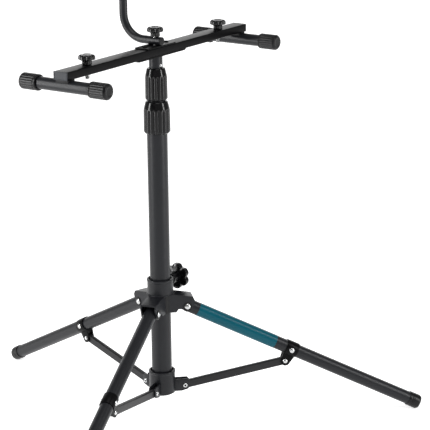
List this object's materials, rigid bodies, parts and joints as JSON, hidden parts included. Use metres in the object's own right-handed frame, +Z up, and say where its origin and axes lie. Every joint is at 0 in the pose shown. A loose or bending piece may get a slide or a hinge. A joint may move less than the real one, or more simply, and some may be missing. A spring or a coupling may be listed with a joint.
{
  "type": "folding tripod work stand",
  "caption": "Folding tripod stand with a telescoping mast, a crossbar with capped cross arms and clamp bolts, and a raised hanger arm on top.",
  "frame": {"origin": "on the floor, on the mast's axis, with the legs standing open", "axes": "+Z up the mast; +X along the crossbar; the hanger's upright stands on the +Y side of the mast"},
  "size_m": [0.8531, 0.8608, 1.0654],
  "materials": {
    "frame_paint": "satin",
    "black_paint": "satin",
    "black_plastic": "gloss",
    "nylon": "matte",
    "rubber": "satin",
    "zinc": "satin",
    "teal_sleeve": "gloss",
    "grey_plastic": "matte"
  },
  "bodies": {
    "mast": {"mast_tube": "frame_paint", "mast_plug": "nylon", "mast_collet": "nylon", "lower_collar": "frame_paint", "lower_sleeve": "nylon", "lower_lug_rivets": "zinc"},
    "hub": {"hub_collar": "frame_paint", "hub_bush": "nylon", "hub_spider": "frame_paint", "hub_washers": "nylon", "leg_hinge_rivets": "zinc", "hub_knob_boss": "frame_paint"},
    "hub_knob": {"hub_knob": "black_plastic", "hub_knob_stud": "zinc"},
    "leg_1": {"leg_tube_1": "frame_paint", "leg_plug_1": "nylon", "leg_clamp_1": "black_plastic", "leg_rivets_1": "zinc", "foot_cap_1": "rubber", "leg_band": "teal_sleeve"},
    "leg_2": {"leg_tube_2": "frame_paint", "leg_plug_2": "nylon", "leg_clamp_2": "black_plastic", "leg_rivets_2": "zinc", "foot_cap_2": "rubber"},
    "leg_3": {"leg_tube_3": "frame_paint", "leg_plug_3": "nylon", "leg_clamp_3": "black_plastic", "leg_rivets_3": "zinc", "foot_cap_3": "rubber"},
    "brace_1": {"brace_1": "black_paint"},
    "brace_2": {"brace_2": "black_paint"},
    "brace_3": {"brace_3": "black_paint"},
    "lower_twist": {"lower_twist_collar": "black_plastic"},
    "middle": {"middle_tube": "frame_paint", "middle_glide": "nylon", "middle_collet": "nylon"},
    "upper_twist": {"upper_twist_collar": "black_plastic"},
    "inner_carriage": {"inner_glide": "nylon"},
    "head": {"inner_tube": "frame_paint", "neck_rivet": "zinc", "head_saddle": "black_paint", "head_plate": "black_paint", "plate_screws": "black_paint", "crossbar": "black_paint", "bar_end_plugs": "grey_plastic", "bar_nuts": "zinc", "arm_cradles": "black_plastic", "arm_left": "frame_paint", "arm_right": "frame_paint", "arm_caps_left": "rubber", "arm_caps_right": "rubber"},
    "clamp_left": {"knob_left": "black_plastic", "bolt_left": "zinc"},
    "clamp_right": {"knob_right": "black_plastic", "bolt_right": "zinc"},
    "hanger": {"hanger_tube": "frame_paint", "hanger_caps": "nylon"},
    "hanger_knob": {"hanger_knob": "black_plastic", "hanger_bolt": "zinc"}
  },
  "joints": [
    {"name": "hub_slide", "type": "slide", "parent": "mast", "child": "hub", "axis": [0, 0, 1], "range_m": [0, 0.26396]},
    {"name": "hub_knob_turn", "type": "hinge", "parent": "hub", "child": "hub_knob", "pos_m": [0, 0, 0.28663], "axis": [0.9994, 0.0349, 0], "continuous": true},
    {"name": "leg_1_fold", "type": "hinge", "parent": "hub", "child": "leg_1", "pos_m": [0.03404, -0.03525, 0.24263], "axis": [0.7193, 0.6947, 0], "range_deg": [0, 59.02]},
    {"name": "leg_2_fold", "type": "hinge", "parent": "hub", "child": "leg_2", "pos_m": [0.01351, 0.0471, 0.24263], "axis": [-0.9613, 0.2756, 0], "range_deg": [0, 59.02]},
    {"name": "leg_3_fold", "type": "hinge", "parent": "hub", "child": "leg_3", "pos_m": [-0.04754, -0.01185, 0.24263], "axis": [0.2419, -0.9703, 0], "range_deg": [0, 59.02]},
    {"name": "brace_1_fold", "type": "hinge", "parent": "leg_1", "child": "brace_1", "pos_m": [0.1651, -0.17097, 0.11732], "axis": [-0.7193, -0.6947, 0], "range_deg": [0, 140.15]},
    {"name": "brace_2_fold", "type": "hinge", "parent": "leg_2", "child": "brace_2", "pos_m": [0.06551, 0.22847, 0.11732], "axis": [0.9613, -0.2756, 0], "range_deg": [0, 140.15]},
    {"name": "brace_3_fold", "type": "hinge", "parent": "leg_3", "child": "brace_3", "pos_m": [-0.23061, -0.0575, 0.11732], "axis": [-0.2419, 0.9703, 0], "range_deg": [0, 140.15]},
    {"name": "lower_twist_turn", "type": "hinge", "parent": "mast", "child": "lower_twist", "pos_m": [0, 0, 0.57763], "axis": [0, 0, 1], "range_deg": [0, 90]},
    {"name": "middle_slide", "type": "slide", "parent": "mast", "child": "middle", "axis": [0, 0, 1], "range_m": [0, 0.4]},
    {"name": "upper_twist_turn", "type": "hinge", "parent": "middle", "child": "upper_twist", "pos_m": [0, 0, 0.63913], "axis": [0, 0, 1], "range_deg": [0, 90]},
    {"name": "inner_slide", "type": "slide", "parent": "middle", "child": "inner_carriage", "axis": [0, 0, 1], "range_m": [0, 0.42]},
    {"name": "head_turn", "type": "hinge", "parent": "inner_carriage", "child": "head", "pos_m": [0, 0, 0.72113], "axis": [0, 0, 1], "range_deg": [-180, 180]},
    {"name": "clamp_left_turn", "type": "hinge", "parent": "head", "child": "clamp_left", "pos_m": [-0.2, 0, 0.73863], "axis": [0, 0, 1], "continuous": true},
    {"name": "clamp_right_turn", "type": "hinge", "parent": "head", "child": "clamp_right", "pos_m": [0.2, 0, 0.73863], "axis": [0, 0, 1], "continuous": true},
    {"name": "hanger_turn", "type": "hinge", "parent": "head", "child": "hanger", "pos_m": [0, 0, 0.74863], "axis": [0, 0, 1], "range_deg": [-60, 60]},
    {"name": "hanger_knob_turn", "type": "hinge", "parent": "hanger", "child": "hanger_knob", "pos_m": [0, 0, 0.74863], "axis": [0, 0, 1], "continuous": true}
  ],
  "couplings": [
    {"joint": "leg_1_fold", "follows": "hub_slide", "rad_per_m": 3.9012},
    {"joint": "leg_2_fold", "follows": "hub_slide", "rad_per_m": 3.9012},
    {"joint": "leg_3_fold", "follows": "hub_slide", "rad_per_m": 3.9012},
    {"joint": "brace_1_fold", "follows": "hub_slide", "rad_per_m": 9.2653},
    {"joint": "brace_2_fold", "follows": "hub_slide", "rad_per_m": 9.2653},
    {"joint": "brace_3_fold", "follows": "hub_slide", "rad_per_m": 9.2653}
  ]
}
